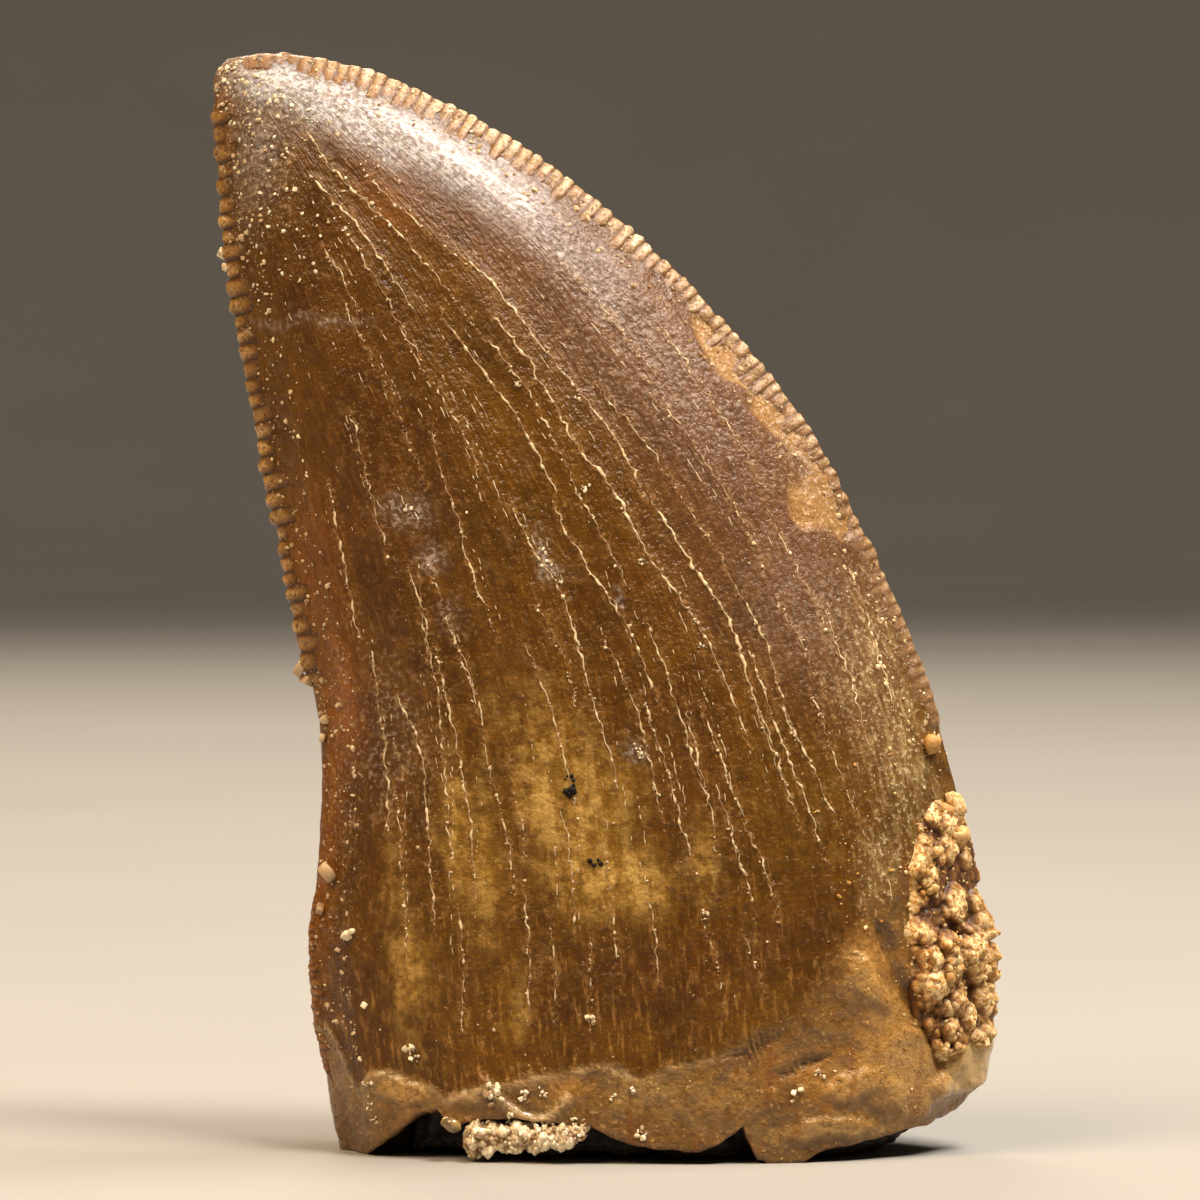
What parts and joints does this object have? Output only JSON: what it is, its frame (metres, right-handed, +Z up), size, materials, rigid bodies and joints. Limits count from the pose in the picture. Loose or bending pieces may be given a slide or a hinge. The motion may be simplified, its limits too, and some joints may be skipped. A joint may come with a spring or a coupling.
{
  "type": "fossil dinosaur tooth",
  "caption": "Upright curved blade-shaped fossil tooth with serrated edges, a knobbly rock crust on one lower edge and a broken notched base that it stands on.",
  "frame": {"origin": "on the surface that the tooth stands on, under the middle of its bounding box", "axes": "+Z up, from the broken base to the tip; +X towards the bowed mesial edge, so the tip leans to -X; +Y from the shown outer face to the inner face, the tooth's thickness"},
  "size_m": [0.0232, 0.0086, 0.0321],
  "materials": {
    "tooth_enamel": "satin",
    "sandy_matrix": "matte",
    "cream_grains": "matte",
    "dark_infill": "matte"
  },
  "bodies": {
    "root": {"tooth": "tooth_enamel", "matrix_crust": "sandy_matrix", "grain_strip": "cream_grains", "pulp_fill": "dark_infill"}
  },
  "joints": []
}
